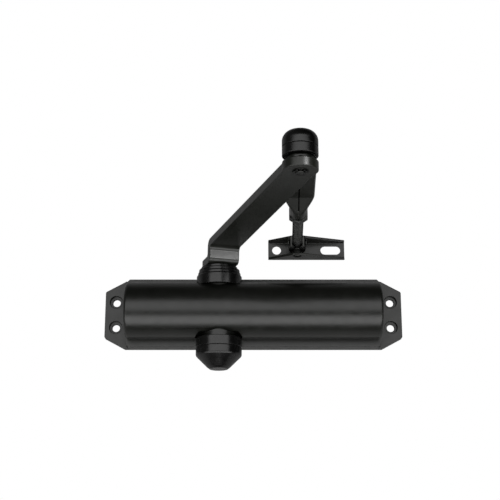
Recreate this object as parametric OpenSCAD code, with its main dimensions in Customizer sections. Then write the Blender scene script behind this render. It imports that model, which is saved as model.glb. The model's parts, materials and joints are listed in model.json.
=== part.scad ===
// Overhead door closer, rack-and-pinion type, with a jointed regular arm and a soffit shoe.
// X runs along the body, Y points into the surface the body is screwed to, Z is up.
// The origin is the centre of the four body screw holes, on the mounting face.

/* [Body] */
// Overall length across the two mounting ears
body_length = 219.2; // [217:0.2:224]
// Height of the body block
body_height = 50.8; // [50:0.2:52]
// Length of the body between its end faces
barrel_length = 186; // [184:1:187]
// Outer radius of the round barrel
barrel_r = 20.5; // [20.2:0.1:21.5]
// Distance of the barrel's centre from the mounting face
barrel_depth = 19; // [18.8:0.1:19.4]
// Depth of the square block behind the barrel
block_depth = 12; // [11.8:0.1:13]
// Thickness of the mounting ears
ear_t = 6; // [5:0.2:6]

/* [Body screws] */
// Spacing of the screw holes along the body
hole_span_x = 203; // [202:0.5:204]
// Spacing of the screw holes across the body
hole_span_z = 19; // [18:0.5:20]
// Diameter of the screw holes
hole_d = 5.6; // [5:0.1:6]
// Diameter of the recess for the screw head
recess_d = 9.4; // [9:0.1:9.8]
// Depth of the recess for the screw head
recess_depth = 3; // [2:0.5:3.5]

/* [Drive] */
// Distance of the pinion axis to the left of the body's middle
pinion_offset = 25; // [24:0.5:26]
// Distance of the pinion and bore axes from the mounting face
bore_depth = 19.5; // [19.4:0.1:19.6]
// Radius of the piston bore
bore_r = 13.3; // [13.2:0.05:13.4]
// Radial running clearance of every shaft and of the piston
fit = 0.05; // [0.03:0.01:0.08]
// Gear module of the pinion and the rack
gear_module = 1.4; // [1.4:0.1:1.4]
// Number of teeth on the pinion
pinion_teeth = 12; // [12:1:12]
// Turn of the arm from its closed stop, in degrees
arm_swing = 165; // [120:5:170]

/* [Main arm] */
// Distance from the pinion axis to the elbow
arm_length = 178.8; // [165:0.1:190]
// Angle of the arm from straight out, towards +X
arm_angle = 17.11; // [15:0.01:20]
// Thickness of the arm bar
arm_t = 6; // [5.5:0.1:6]
// Width of the arm at its root
arm_root_w = 22.5; // [22:0.5:24]
// Width of the arm at the elbow
arm_tip_w = 20; // [19:0.5:21]
// Height of the underside of the arm's root
arm_low_z = 32.5; // [32.5:0.1:33]
// Height of the underside of the arm beyond its step
arm_high_z = 44.2; // [44.2:0.1:44.6]

/* [Forearm and shoe] */
// Distance from the elbow to the shoe pivot
forearm_length = 178.2; // [176:0.1:182]
// Angle of the forearm from straight back, towards +X
forearm_angle = 1.64; // [1:0.01:3]
// Outer diameter of the forearm tube
tube_d = 12; // [11.6:0.1:12.4]
// Diameter of the adjusting rod
rod_d = 7.7; // [7:0.1:8]
// Length of the shoe
shoe_length = 57.4; // [56:0.2:60]
// Height of the shoe channel
shoe_height = 15.4; // [15.3:0.1:15.5]
// Sheet thickness of the shoe
shoe_t = 1.8; // [1.7:0.1:1.9]
// Distance between the shoe's round hole and its slot
shoe_hole_span = 40.6; // [39:0.2:41]

/* [Hidden] */

$fn = 64;

// Finishes
black_paint = [0.09, 0.09, 0.09];
black_plastic = [0.05, 0.05, 0.05];
bright_steel = [0.62, 0.62, 0.64];
zinc_steel = [0.5, 0.5, 0.52];
seal_rubber = [0.03, 0.03, 0.03];
bronze = [0.6, 0.45, 0.25];
raw_aluminium = [0.7, 0.7, 0.7];

// Body outline
half_l = body_length / 2;
half_h = body_height / 2;
half_b = barrel_length / 2;
ear_end_z = 17.2;
ear_corner_r = 1.6;
block_chamfer = 1.6;
barrel_end_round = 2.6;
boss_r = 12;
boss_z = 21;
spotface_r = 17;
spotface_z = 17.4;

// End plugs
plug_length = 14;
plug_hex = 8;
plug_hex_depth = 6;
plug_inner_x = half_b - plug_length;
o_ring_r = 1.1;

// Regulating valves, in the end face on the pinion side
valve_y = -9.5;
valve_z = 17;
valve_r = 2.5;
valve_length = 22;
valve_gap = 0.4;
duct_r = 1.1;
duct_length = 34;

// Pinion
pin_x = -pinion_offset;
pin_y = -bore_depth;
pitch_r = gear_module * pinion_teeth / 2;
base_r = pitch_r * cos(20);
pinion_tip_r = pitch_r + gear_module;
pinion_root_r = pitch_r - gear_module;
rack_addendum = 0.9;
rack_root = gear_module + 0.3;
backlash = 0.26;
gear_half_w = 8.6;
journal_r = 7;
square_w = 9.4;
nut_r = 10.2;
nut_z = 13.6;
rad = 180 / PI;

// Piston: slot long enough for the pinion over the whole swing
travel = pitch_r * arm_swing / rad;
slot_margin = 1.4;
slot_right = pin_x + pinion_tip_r + slot_margin;
slot_left = pin_x - pinion_tip_r - slot_margin - travel;
piston_left = -plug_inner_x + 0.4;
piston_right = slot_right + 11.5;
piston_r = bore_r - fit;
ball_r = 2.5;
ball_seat_r = 1.6;
ball_chamber_r = 2.9;
ball_seat_x = piston_left + 8.6;

// Main spring
spring_wire_r = 1.8;
spring_mean_r = 9.8;
spring_turns = 9;
spring_steps = 18;
spring_sides = 8;

// Arm
arm_out = -90 + arm_angle;
elbow_x = pin_x + arm_length * sin(arm_angle);
elbow_y = pin_y - arm_length * cos(arm_angle);
step_front = 14;
step_back = step_front - arm_t;
root_eye_r = 13;
tip_eye_r = 11;
pin_r = 3.5;
bush_r = 4.6;

// Forearm
flat_z = 50.4;
flat_t = 3;
flat_half_w = 10.2;
flat_end_r = 8.2;
tube_z = 50.9;
tube_r = tube_d / 2;
tube_bore_r = 4.6;
flat_length = 65;
shoulder_length = 23;
tube_end = 98;
nut_across = 12.6;
nut_length = 6.4;
tube_slit = 0.5;

// Yoke and shoe, along the forearm from the shoe pivot
yoke_w = 12.7;
yoke_slot = 3.8;
yoke_reach = 13.5;
yoke_back = 5.6;
yoke_h = 8.3;
tongue_t = 3.5;
cross_pin_at = 10.7;
cross_pin_r = 1.5;
rivet_r = 2.2;
rod_full_at = 14.5;
rod_end_at = 85.5;
tube_bore_from = 84;
eye_r = 3.3;
shoe_mid_z = tube_z;
shoe_low_z = shoe_mid_z - shoe_height / 2;
shoe_x = elbow_x + forearm_length * sin(forearm_angle);
shoe_y = elbow_y + forearm_length * cos(forearm_angle);
shoe_left = shoe_x - 21.4;
shoe_hole_x = shoe_left + 6.3;
shoe_hole_d = 6.7;
shoe_slot_length = 15;
shoe_flange = 16;
shoe_flange_end = 3.2;
shoe_head_r = 3.4;
shoe_washer_r = 3.7;

// ---------------------------------------------------------------- outlines

function unit(v) = v / norm(v);

// Points of a circle's arc about c, from angle a over the sweep s
function arc(c, r, a, s, n = 6) =
    [for (i = [0 : n]) c + r * [cos(a + s * i / n), sin(a + s * i / n)]];

// One corner at p between its neighbours a and b, rounded with radius r
function corner(a, p, b, r, n) =
    let (
        u = unit(a - p),
        v = unit(b - p),
        half = acos(u * v) / 2,
        c = p + unit(u + v) * r / sin(half),
        s = p + u * r / tan(half) - c,
        e = p + v * r / tan(half) - c,
        start = atan2(s.y, s.x),
        turn = (atan2(e.y, e.x) - start + 540) % 360 - 180
    )
    r == 0 ? [p] : arc(c, r, start, turn, n);

// Closed outline from corners given as [x, y, radius]
function rounded(k, n = 6) =
    [for (i = [0 : len(k) - 1])
        let (
            a = k[(i + len(k) - 1) % len(k)],
            p = k[i],
            b = k[(i + 1) % len(k)]
        )
        each corner([a.x, a.y], [p.x, p.y], [b.x, b.y], p[2], n)];

// ---------------------------------------------------------------- shared shapes

// Extrude an outline drawn in X and Z, from y towards the front
module plate_xz(y, t) {
    translate([0, y, 0]) rotate([90, 0, 0]) linear_extrude(t) children();
}

// Cylinder along X from x0 to x1 at y, z
module rod_x(x0, x1, y, z, r) {
    translate([x0, y, z]) rotate([0, 90, 0]) cylinder(h = x1 - x0, r = r);
}

// Cylinder along Z at x, y
module rod_z(x, y, z0, z1, r) {
    translate([x, y, z0]) cylinder(h = z1 - z0, r = r);
}

// Solid of revolution about the pinion axis, from [radius, height] points
module pinion_ring(points) {
    translate([pin_x, pin_y, 0]) rotate_extrude($fn = 96) polygon(points);
}

module at_each_hole() {
    for (sx = [-1, 1], sz = [-1, 1])
        translate([sx * hole_span_x / 2, 0, sz * hole_span_z / 2])
            rotate([90, 0, 0])
                children();
}

module o_ring(mean_r, r) {
    rotate_extrude($fn = 48) translate([mean_r, 0]) circle(r, $fn = 20);
}

// Frame of the main arm: origin on the pinion axis, X towards the elbow
module along_arm() {
    translate([pin_x, pin_y, 0]) rotate([0, 0, arm_out]) children();
}

// Frame of the forearm: origin on the elbow axis, X towards the shoe
module along_forearm() {
    translate([elbow_x, elbow_y, 0]) rotate([0, 0, 90 - forearm_angle]) children();
}

// Frame of the shoe end: origin on the shoe pivot, X towards the elbow
module from_shoe() {
    translate([shoe_x, shoe_y, tube_z]) rotate([0, 0, -90 - forearm_angle]) children();
}

// ---------------------------------------------------------------- body

ear_outline = rounded([
    [half_l, ear_end_z, ear_corner_r], [half_b + 1.5, half_h, 1],
    [-half_b - 1.5, half_h, 1], [-half_l, ear_end_z, ear_corner_r],
    [-half_l, -ear_end_z, ear_corner_r], [-half_b - 1.5, -half_h, 1],
    [half_b + 1.5, -half_h, 1], [half_l, -ear_end_z, ear_corner_r]
]);

block_outline = [
    [half_b, half_h - block_chamfer], [half_b - block_chamfer, half_h],
    [-half_b + block_chamfer, half_h], [-half_b, half_h - block_chamfer],
    [-half_b, -half_h + block_chamfer], [-half_b + block_chamfer, -half_h],
    [half_b - block_chamfer, -half_h], [half_b, -half_h + block_chamfer]
];

barrel_profile = concat(
    [[0, -half_b]],
    arc([barrel_r - barrel_end_round, -half_b + barrel_end_round], barrel_end_round, -90, 90),
    arc([barrel_r - barrel_end_round, half_b - barrel_end_round], barrel_end_round, 0, 90),
    [[0, half_b]]
);

// Plate with two ears, block and barrel, milled flat around the pinion above and below
module body_blank() {
    difference() {
        union() {
            plate_xz(0, ear_t) polygon(ear_outline);
            plate_xz(0, block_depth) polygon(block_outline);
            translate([0, -barrel_depth, 0])
                rotate([0, 90, 0])
                    rotate_extrude($fn = 128) polygon(barrel_profile);
        }
        translate([-half_b - 1, 0, -half_h]) cube([barrel_length + 2, 10, body_height]);
        for (s = [-1, 1])
            translate([pin_x, pin_y, s * (spotface_z + 5)])
                cylinder(h = 10, r = spotface_r, center = true);
    }
}

module body_casting() {
    color(black_paint)
        difference() {
            union() {
                body_blank();
                rod_z(pin_x, pin_y, -boss_z, boss_z, boss_r);
            }
            at_each_hole() {
                translate([0, 0, -1]) cylinder(h = ear_t + 2, r = hole_d / 2, $fn = 32);
                translate([0, 0, ear_t - recess_depth])
                    cylinder(h = recess_depth + 1, r = recess_d / 2, $fn = 40);
            }
            rod_x(-half_b - 1, half_b + 1, pin_y, 0, bore_r, $fn = 96);
            rod_z(pin_x, pin_y, -half_h, half_h, nut_r);
            for (s = [-1, 1]) {
                rod_x(-half_b - 1, -half_b + valve_length + 1, valve_y, s * valve_z, valve_r + fit);
                rod_x(-half_b + 2, -half_b + duct_length, valve_y, s * valve_z, duct_r);
                valve_port(s, -half_b + duct_length - 2);
                valve_port(s, -half_b + valve_length - 3);
            }
        }
}

// Cross-drilling from a valve duct into the bore
module valve_port(s, x) {
    slope = atan2(valve_y - pin_y, s * valve_z);
    translate([x, pin_y, 0])
        rotate([-slope, 0, 0])
            cylinder(h = norm([valve_y - pin_y, valve_z]), r = duct_r, $fn = 24);
}

// Screwed plug that closes one end of the bore; side is -1 or 1
module end_plug(side) {
    color(zinc_steel)
        translate([side * plug_inner_x, pin_y, 0])
            rotate([0, side * 90, 0])
                difference() {
                    cylinder(h = plug_length - 0.3, r = bore_r - fit);
                    translate([0, 0, plug_length - plug_hex_depth])
                        cylinder(h = plug_hex_depth, r = plug_hex / 2 / cos(30), $fn = 6);
                    translate([0, 0, 3])
                        difference() {
                            cylinder(h = 2 * o_ring_r + 0.3, r = bore_r + 1);
                            translate([0, 0, -1])
                                cylinder(h = 2 * o_ring_r + 3, r = bore_r - 2 * o_ring_r - 0.1);
                        }
                }
}

module spring_end_plug() { end_plug(1); }

module valve_end_plug() { end_plug(-1); }

module plug_o_rings() {
    color(seal_rubber)
        for (side = [-1, 1])
            translate([side * (plug_inner_x + 3.15 + o_ring_r), pin_y, 0])
                rotate([0, 90, 0])
                    o_ring(bore_r - o_ring_r - 0.05, o_ring_r);
}

// ---------------------------------------------------------------- pinion bearings and trim

// Threaded ring that closes the bearing bore; side is -1 or 1
module bearing_nut(side) {
    color(zinc_steel)
        translate([pin_x, pin_y, 0])
            mirror([0, 0, side < 0 ? 1 : 0])
                difference() {
                    cylinder_between(nut_z, boss_z - 0.2, nut_r - fit);
                    cylinder_between(nut_z - 1, boss_z + 1, journal_r + fit);
                    cylinder_between(nut_z + 3, nut_z + 5, journal_r + 1.95);
                    for (a = [0, 90])
                        rotate([0, 0, a])
                            translate([-nut_r - 1, -1.4, boss_z - 2])
                                cube([2 * nut_r + 2, 2.8, 3]);
                }
}

module cylinder_between(z0, z1, r) {
    translate([0, 0, z0]) cylinder(h = z1 - z0, r = r);
}

module upper_bearing_nut() { bearing_nut(1); }

module lower_bearing_nut() { bearing_nut(-1); }

module bearing_bushes() {
    color(bronze)
        for (s = [0, 1])
            mirror([0, 0, s])
                pinion_ring([
                    [journal_r + fit, gear_half_w + 0.5], [nut_r - 0.1, gear_half_w + 0.5],
                    [nut_r - 0.1, nut_z - 0.1], [journal_r + fit, nut_z - 0.1]
                ]);
}

module pinion_o_rings() {
    color(seal_rubber)
        for (s = [-1, 1])
            translate([pin_x, pin_y, s * (nut_z + 4)])
                o_ring(journal_r + 1, 0.9);
}

// Radius and top height of each step of the collar
collar_steps = [[16.5, 25.3], [15.6, 27.7], [14.9, 30.2]];
collar_round = 0.5;
collar_outer = concat(
    [[collar_steps[0].x, spotface_z + 0.1]],
    [for (t = collar_steps) each arc(t - [collar_round, collar_round], collar_round, 0, 90, 4)],
    [[13.2, 30.2], [13.2, 32.1]]
);

module pinion_collar() {
    color(black_plastic)
        pinion_ring(concat(
            collar_outer,
            [[journal_r + 0.4, 32.1], [journal_r + 0.4, 30.3], [11.4, 28.4],
             [13, 26], [14.6, 23], [14.6, spotface_z + 0.1]]
        ));
}

module lower_trim_ring() {
    color(black_plastic)
        pinion_ring([
            [16.2, -boss_z - 0.1], [16.6, -boss_z - 0.5], [16.6, -27.4], [16.3, -27.8],
            [12.2, -27.8], [12.2, -22.9], [10.8, -22.9], [10.8, -boss_z - 0.1]
        ]);
}

cap_outline = concat(
    [[16.3, -28], [16.6, -28.3]],
    arc([14.1, -32.6], 2.5, 0, -45, 4),
    arc([6, -39.6], 3.4, -45, -45, 4)
);

module pinion_cap() {
    color(black_plastic)
        pinion_ring(concat(
            cap_outline,
            [[0, -43.3], [0, -41.2], [5.2, -41], [13.4, -33], [13.4, -30], [10.4, -30],
             [10.4, -24], [12, -24], [12, -28]]
        ));
}

// ---------------------------------------------------------------- spring and valves

spring_left = piston_right + 0.3 + spring_wire_r;
spring_right = plug_inner_x - 0.3 - spring_wire_r;

end_turns = 0.8;
end_rise = 2.3 * spring_wire_r * end_turns;

// Height of the helix after a number of turns; the turns at both ends lie close together
function spring_x(turn) =
    let (open = (turn - end_turns) / (spring_turns - 2 * end_turns))
    turn < end_turns ? spring_left + end_rise * turn / end_turns
    : turn > spring_turns - end_turns ? spring_right - end_rise * (spring_turns - turn) / end_turns
    : spring_left + end_rise + (spring_right - spring_left - 2 * end_rise) * open;

module main_spring() {
    n = spring_turns * spring_steps;
    m = spring_sides;
    points = [for (i = [0 : n], j = [0 : m - 1])
        let (
            a = 360 * i / spring_steps,
            b = 360 * j / m,
            r = spring_mean_r + spring_wire_r * cos(b)
        )
        [spring_x(i / spring_steps) + spring_wire_r * sin(b), pin_y + r * cos(a), r * sin(a)]];
    sides = [for (i = [0 : n - 1], j = [0 : m - 1])
        [i * m + j, i * m + (j + 1) % m, (i + 1) * m + (j + 1) % m, (i + 1) * m + j]];
    ends = [
        [for (j = [m - 1 : -1 : 0]) j],
        [for (j = [0 : m - 1]) n * m + j]
    ];
    color(bright_steel) polyhedron(points, concat(sides, ends));
}

// Slotted needle screw in the body's end face; s is 1 for the upper, -1 for the lower
module valve_screw(s) {
    color(bright_steel)
        translate([-half_b + valve_gap, valve_y, s * valve_z])
            rotate([0, 90, 0])
                difference() {
                    union() {
                        cylinder(h = 6, r = valve_r, $fn = 40);
                        cylinder(h = valve_length - 6, r = valve_r - 0.9, $fn = 40);
                        translate([0, 0, 9]) cylinder(h = valve_length - 15, r = valve_r, $fn = 40);
                        translate([0, 0, valve_length - 6])
                            cylinder(h = 6, r1 = valve_r - 0.9, r2 = 0.6, $fn = 40);
                    }
                    translate([-0.45, -valve_r - 1, -1]) cube([0.9, 2 * valve_r + 2, 2.4]);
                }
}

module valve_seal(s) {
    color(seal_rubber)
        translate([-half_b + valve_gap + 7.5, valve_y, s * valve_z])
            rotate([0, 90, 0])
                o_ring(valve_r - 0.45, 0.43);
}

module closing_valve() { valve_screw(1); }

module closing_valve_seal() { valve_seal(1); }

module latching_valve() { valve_screw(-1); }

module latching_valve_seal() { valve_seal(-1); }

// ---------------------------------------------------------------- piston and pinion

gear_pitch = PI * gear_module;
rack_count = ceil((slot_right - slot_left) / gear_pitch) + 1;

// Rack teeth that point towards the pinion, with a space opposite its axis
module rack_teeth() {
    half_tip = gear_pitch / 4 - backlash / 4 - rack_addendum * tan(20);
    half_foot = gear_pitch / 4 - backlash / 4 + rack_root * tan(20);
    for (i = [-rack_count : 1])
        translate([pin_x + (i + 0.5) * gear_pitch, pin_y - pitch_r, -gear_half_w])
            linear_extrude(2 * gear_half_w)
                polygon([[-half_tip, rack_addendum], [half_tip, rack_addendum],
                         [half_foot, -rack_root - 0.3], [-half_foot, -rack_root - 0.3]]);
}

module piston() {
    slot_l = slot_right - slot_left;
    color(raw_aluminium)
        difference() {
            union() {
                difference() {
                    rod_x(piston_left, piston_right, pin_y, 0, piston_r, $fn = 96);
                    translate([slot_left, pin_y - pitch_r - rack_root, -bore_r])
                        cube([slot_l, pitch_r + rack_root + pinion_tip_r + 0.4, 2 * bore_r]);
                    for (s = [-1, 1])
                        translate([slot_left, pin_y - bore_r, s > 0 ? gear_half_w + 0.2 : -bore_r - 1])
                            cube([slot_l, 2 * bore_r, bore_r - gear_half_w + 0.8]);
                }
                intersection() {
                    rack_teeth();
                    rod_x(slot_left - 1, slot_right + 1, pin_y, 0, piston_r, $fn = 96);
                }
            }
            rod_x(piston_left - 1, ball_seat_x, pin_y, 0, ball_chamber_r);
            rod_x(ball_seat_x - 1, slot_left + 1, pin_y, 0, ball_seat_r);
        }
}

module check_ball() {
    color(bright_steel)
        translate([ball_seat_x - sqrt(pow(ball_r, 2) - pow(ball_seat_r, 2)) - 0.06, pin_y, 0])
            sphere(ball_r, $fn = 48);
}

module check_ball_retainer() {
    color(bright_steel)
        translate([piston_left + 0.5, pin_y, 0])
            rotate([0, 90, 0])
                difference() {
                    cylinder(h = 1, r = ball_chamber_r - 0.01);
                    translate([0, 0, -1]) cylinder(h = 3, r = 1.4);
                }
}

// Angle between the radius and the involute at radius r
function inv_angle(r) =
    let (t = sqrt(max(pow(r / base_r, 2) - 1, 0)))
    t * rad - atan(t);

// Half the tooth's angle at radius r
function tooth_half(r) =
    (gear_pitch / 4 - backlash / 4) / pitch_r * rad + inv_angle(pitch_r) - inv_angle(max(r, base_r));

flank_r = [pinion_root_r, base_r, base_r + 0.35, pitch_r, pitch_r + 0.7, pinion_tip_r];

module pinion_shaft() {
    teeth = [for (i = [0 : pinion_teeth - 1])
        let (mid = -90 + 360 * i / pinion_teeth)
        each concat(
            [for (r = flank_r) let (a = mid - tooth_half(r)) r * [cos(a), sin(a)]],
            [for (k = [len(flank_r) - 1 : -1 : 0])
                let (r = flank_r[k], a = mid + tooth_half(r))
                r * [cos(a), sin(a)]]
        )];
    color(bright_steel)
        translate([pin_x, pin_y, 0])
            difference() {
                union() {
                    cylinder_between(-boss_z - 1, arm_low_z, journal_r);
                    translate([0, 0, -gear_half_w]) linear_extrude(2 * gear_half_w) polygon(teeth);
                    rotate([0, 0, arm_out])
                        for (z = [[arm_low_z - 1, arm_low_z + arm_t - 0.3], [-31, -boss_z]])
                            translate([-square_w / 2, -square_w / 2, z[0]])
                                cube([square_w, square_w, z[1] - z[0]]);
                }
                cylinder_between(22, arm_low_z + arm_t, 2.55);
                cylinder_between(-32, -20, 2.55);
            }
}

// ---------------------------------------------------------------- main arm

arm_side = rounded([
    [-20, arm_low_z, 0], [step_front - 0.8, arm_low_z, 3.4], [step_front, arm_high_z, 2],
    [arm_length + 20, arm_high_z, 0], [arm_length + 20, arm_high_z + arm_t, 0],
    [step_back, arm_high_z + arm_t, 6], [step_back - 0.8, arm_low_z + arm_t, 1.5],
    [-20, arm_low_z + arm_t, 0]
]);

module main_arm() {
    color(black_paint)
        along_arm()
            difference() {
                intersection() {
                    translate([0, 20, 0]) rotate([90, 0, 0]) linear_extrude(40) polygon(arm_side);
                    union() {
                        cylinder_between(arm_low_z - 1, arm_high_z + 10, root_eye_r);
                        translate([arm_length, 0, 0])
                            cylinder_between(arm_low_z - 1, arm_high_z + 10, tip_eye_r);
                        translate([0, 0, arm_low_z - 1])
                            linear_extrude(arm_high_z - arm_low_z + 10)
                                polygon([
                                    [0, -arm_root_w / 2], [24, -arm_root_w / 2],
                                    [arm_length - 4, -arm_tip_w / 2], [arm_length - 4, arm_tip_w / 2],
                                    [24, arm_root_w / 2], [0, arm_root_w / 2]
                                ]);
                    }
                }
                translate([-square_w / 2 - 0.05, -square_w / 2 - 0.05, arm_low_z - 1])
                    cube([square_w + 0.1, square_w + 0.1, arm_t + 2]);
                translate([arm_length, 0, 0])
                    cylinder_between(arm_high_z - 1, arm_high_z + arm_t + 1, bush_r);
            }
}

module arm_washer() {
    color(zinc_steel)
        translate([pin_x, pin_y, 0])
            difference() {
                cylinder_between(arm_low_z + arm_t + 0.02, arm_low_z + arm_t + 1.2, 5.6);
                cylinder_between(arm_low_z + arm_t - 1, arm_low_z + arm_t + 2, 3.2);
            }
}

module arm_screw() {
    head_z = arm_low_z + arm_t + 1.22;
    color(zinc_steel)
        translate([pin_x, pin_y, 0])
            difference() {
                union() {
                    cylinder_between(25, head_z + 1, 2.5);
                    translate([0, 0, head_z])
                        rotate_extrude()
                            polygon(concat([[0, 0], [4.8, 0]], arc([3.4, 2], 1.4, 0, 90, 5), [[0, 3.4]]));
                }
                translate([0, 0, head_z + 1.4]) cylinder(h = 4, r = 2.3, $fn = 6);
            }
}

module elbow_bush() {
    color(black_plastic)
        translate([elbow_x, elbow_y, 0])
            difference() {
                cylinder_between(arm_high_z, arm_high_z + arm_t, bush_r - 0.02);
                cylinder_between(arm_high_z - 1, arm_high_z + arm_t + 1, pin_r + fit);
            }
}

// ---------------------------------------------------------------- forearm

module forearm() {
    color(black_paint)
        along_forearm()
            difference() {
                union() {
                    cylinder_between(flat_z, flat_z + flat_t, flat_end_r);
                    translate([0, 0, flat_z])
                        linear_extrude(flat_t)
                            polygon([
                                [0, -flat_end_r + 0.4], [6, -flat_half_w], [flat_length, -flat_half_w],
                                [flat_length, flat_half_w], [6, flat_half_w], [0, flat_end_r - 0.4]
                            ]);
                    hull() {
                        translate([flat_length - 0.5, -flat_half_w, flat_z])
                            cube([0.5, 2 * flat_half_w, flat_t]);
                        translate([flat_length + shoulder_length, 0, tube_z])
                            rotate([0, 90, 0])
                                cylinder(h = 0.5, r = tube_r, $fn = 32);
                    }
                    rod_x(flat_length + shoulder_length, tube_end, 0, tube_z, tube_r);
                }
                cylinder_between(flat_z - 1, flat_z + flat_t + 1, pin_r + 0.02);
                rod_x(tube_bore_from, tube_end + 1, 0, tube_z, tube_bore_r);
                translate([20, -tube_slit / 2, tube_z - tube_r - 1])
                    cube([tube_end, tube_slit, flat_z - tube_z + tube_r + 1.2]);
            }
}

module elbow_pin() {
    color(bright_steel)
        translate([elbow_x, elbow_y, 0])
            difference() {
                union() {
                    cylinder_between(arm_high_z - 1.7, 57, pin_r);
                    cylinder_between(56.7, 58.4, 6);
                }
                difference() {
                    cylinder_between(arm_high_z - 1.15, arm_high_z - 0.2, pin_r + 2);
                    cylinder_between(arm_high_z - 2, arm_high_z + 1, pin_r - 0.7);
                }
            }
}

// Open ring that grips the pin's groove, its mouth towards the front
module elbow_clip() {
    clip_r = 4.8;
    mouth = 3.6;
    color(zinc_steel)
        translate([elbow_x, elbow_y, arm_high_z - 1.05])
            difference() {
                cylinder(h = 0.75, r = clip_r);
                translate([0, 0, -1]) cylinder(h = 3, r = pin_r - 0.65);
                translate([-mouth / 2, -clip_r - 1, -1]) cube([mouth, clip_r, 3]);
            }
}

module knuckle_ring() {
    color(black_plastic)
        translate([elbow_x, elbow_y, 0])
            rotate_extrude($fn = 96)
                polygon([
                    [pin_r + 0.1, 53.5], [10.4, 53.5], [10.9, 54], [11, 54.4], [11, 59], [10.8, 59.3],
                    [9.2, 59.3], [9.2, 56.6], [pin_r + 0.1, 56.6]
                ]);
}

cap_top = 70.2;
cap_side = 11;
cap_shoulder = 6.6;

module knuckle_cap() {
    wall = 1.8;
    shoulder_centre = [cap_side - cap_shoulder, cap_top - cap_shoulder - 0.3];
    color(black_plastic)
        translate([elbow_x, elbow_y, 0])
            rotate_extrude($fn = 96)
                polygon(concat(
                    [[7.4, 57], [9, 57], [9, 59.6], [cap_side - 0.2, 59.6], [cap_side, 59.8]],
                    arc(shoulder_centre, cap_shoulder, 0, 86, 10),
                    [[0, cap_top], [0, cap_top - wall]],
                    arc(shoulder_centre, cap_shoulder - wall, 86, -86, 10),
                    [[cap_side - wall, 61.4], [7.4, 60.2]]
                ));
}

// Nut pressed into the tube's end, which the rod screws into
module threaded_insert() {
    color(zinc_steel)
        along_forearm()
            difference() {
                rod_x(tube_end - 14, tube_end - 0.2, 0, tube_z, tube_bore_r - 0.02);
                rod_x(tube_end - 15, tube_end + 1, 0, tube_z, rod_d / 2 + fit);
            }
}

// ---------------------------------------------------------------- adjusting rod and yoke

rod_length = forearm_length - rod_end_at - rod_full_at;

module adjuster_rod() {
    color(bright_steel)
        from_shoe()
            difference() {
                union() {
                    translate([rod_full_at, 0, 0])
                        rotate([0, 90, 0])
                            cylinder(h = rod_length, r = rod_d / 2);
                    translate([cross_pin_at, -tongue_t / 2, -eye_r])
                        cube([rod_full_at - cross_pin_at + 1, tongue_t, 2 * eye_r]);
                    translate([cross_pin_at, tongue_t / 2, 0])
                        rotate([90, 0, 0])
                            cylinder(h = tongue_t, r = eye_r, $fn = 40);
                }
                translate([cross_pin_at, 10, 0])
                    rotate([90, 0, 0])
                        cylinder(h = 20, r = cross_pin_r + fit, $fn = 32);
            }
}

module lock_nut() {
    nut_at = forearm_length - tube_end - nut_length - 0.2;
    chamfer = 0.9;
    color(zinc_steel)
        from_shoe()
            translate([nut_at, 0, 0])
                rotate([0, 90, 0])
                    difference() {
                        intersection() {
                            cylinder(h = nut_length, r = nut_across / 2 / cos(30), $fn = 6);
                            rotate_extrude()
                                polygon([
                                    [0, 0], [nut_across / 2, 0], [nut_across / 2 + 1.3, chamfer],
                                    [nut_across / 2 + 1.3, nut_length - chamfer],
                                    [nut_across / 2, nut_length], [0, nut_length]
                                ]);
                        }
                        translate([0, 0, -1]) cylinder(h = nut_length + 2, r = rod_d / 2 + fit);
                    }
}

module cross_pin() {
    color(bright_steel)
        from_shoe()
            translate([cross_pin_at, 0, 0])
                rotate([90, 0, 0]) {
                    cylinder(h = yoke_w + 0.1, r = cross_pin_r, center = true, $fn = 32);
                    for (s = [-1, 1])
                        translate([0, 0, s * (yoke_w / 2 + 0.35)])
                            cylinder(h = 0.6, r = cross_pin_r + 0.7, center = true, $fn = 32);
                }
}

module swivel_yoke() {
    color(zinc_steel)
        from_shoe()
            difference() {
                union() {
                    translate([0, 0, -yoke_h / 2]) cylinder(h = yoke_h, r = yoke_back);
                    translate([0, -yoke_w / 2, -yoke_h / 2]) cube([yoke_reach, yoke_w, yoke_h]);
                }
                translate([cross_pin_at - eye_r - 0.3, -yoke_slot / 2, -yoke_h])
                    cube([yoke_reach, yoke_slot, 2 * yoke_h]);
                translate([0, 0, -yoke_h]) cylinder(h = 2 * yoke_h, r = rivet_r + fit, $fn = 40);
                translate([cross_pin_at, yoke_w, 0])
                    rotate([90, 0, 0])
                        cylinder(h = 2 * yoke_w, r = cross_pin_r + 0.02, $fn = 32);
            }
}

// ---------------------------------------------------------------- shoe

shoe_right = shoe_left + shoe_length;

// One flange of the channel, seen from above, with depth measured from the back
shoe_flange_outline = rounded([
    [shoe_left, 0, 0], [shoe_left, -shoe_flange_end, 0.8], [shoe_x - 2.8, -shoe_flange, 3],
    [shoe_x + 2.2, -shoe_flange, 3], [shoe_right, -shoe_flange_end, 0.8], [shoe_right, 0, 0]
]);

module shoe_bracket() {
    color(black_paint)
        difference() {
            union() {
                translate([shoe_left, -shoe_t, shoe_low_z]) cube([shoe_length, shoe_t, shoe_height]);
                for (z = [shoe_low_z, shoe_low_z + shoe_height - shoe_t])
                    translate([0, 0, z]) linear_extrude(shoe_t) polygon(shoe_flange_outline);
            }
            translate([shoe_hole_x, 1, shoe_mid_z])
                rotate([90, 0, 0])
                    cylinder(h = shoe_t + 2, r = shoe_hole_d / 2, $fn = 40);
            shoe_slot();
            rod_z(shoe_x, shoe_y, shoe_low_z - 1, shoe_low_z + shoe_height + 1, rivet_r + 0.02);
        }
}

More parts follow.
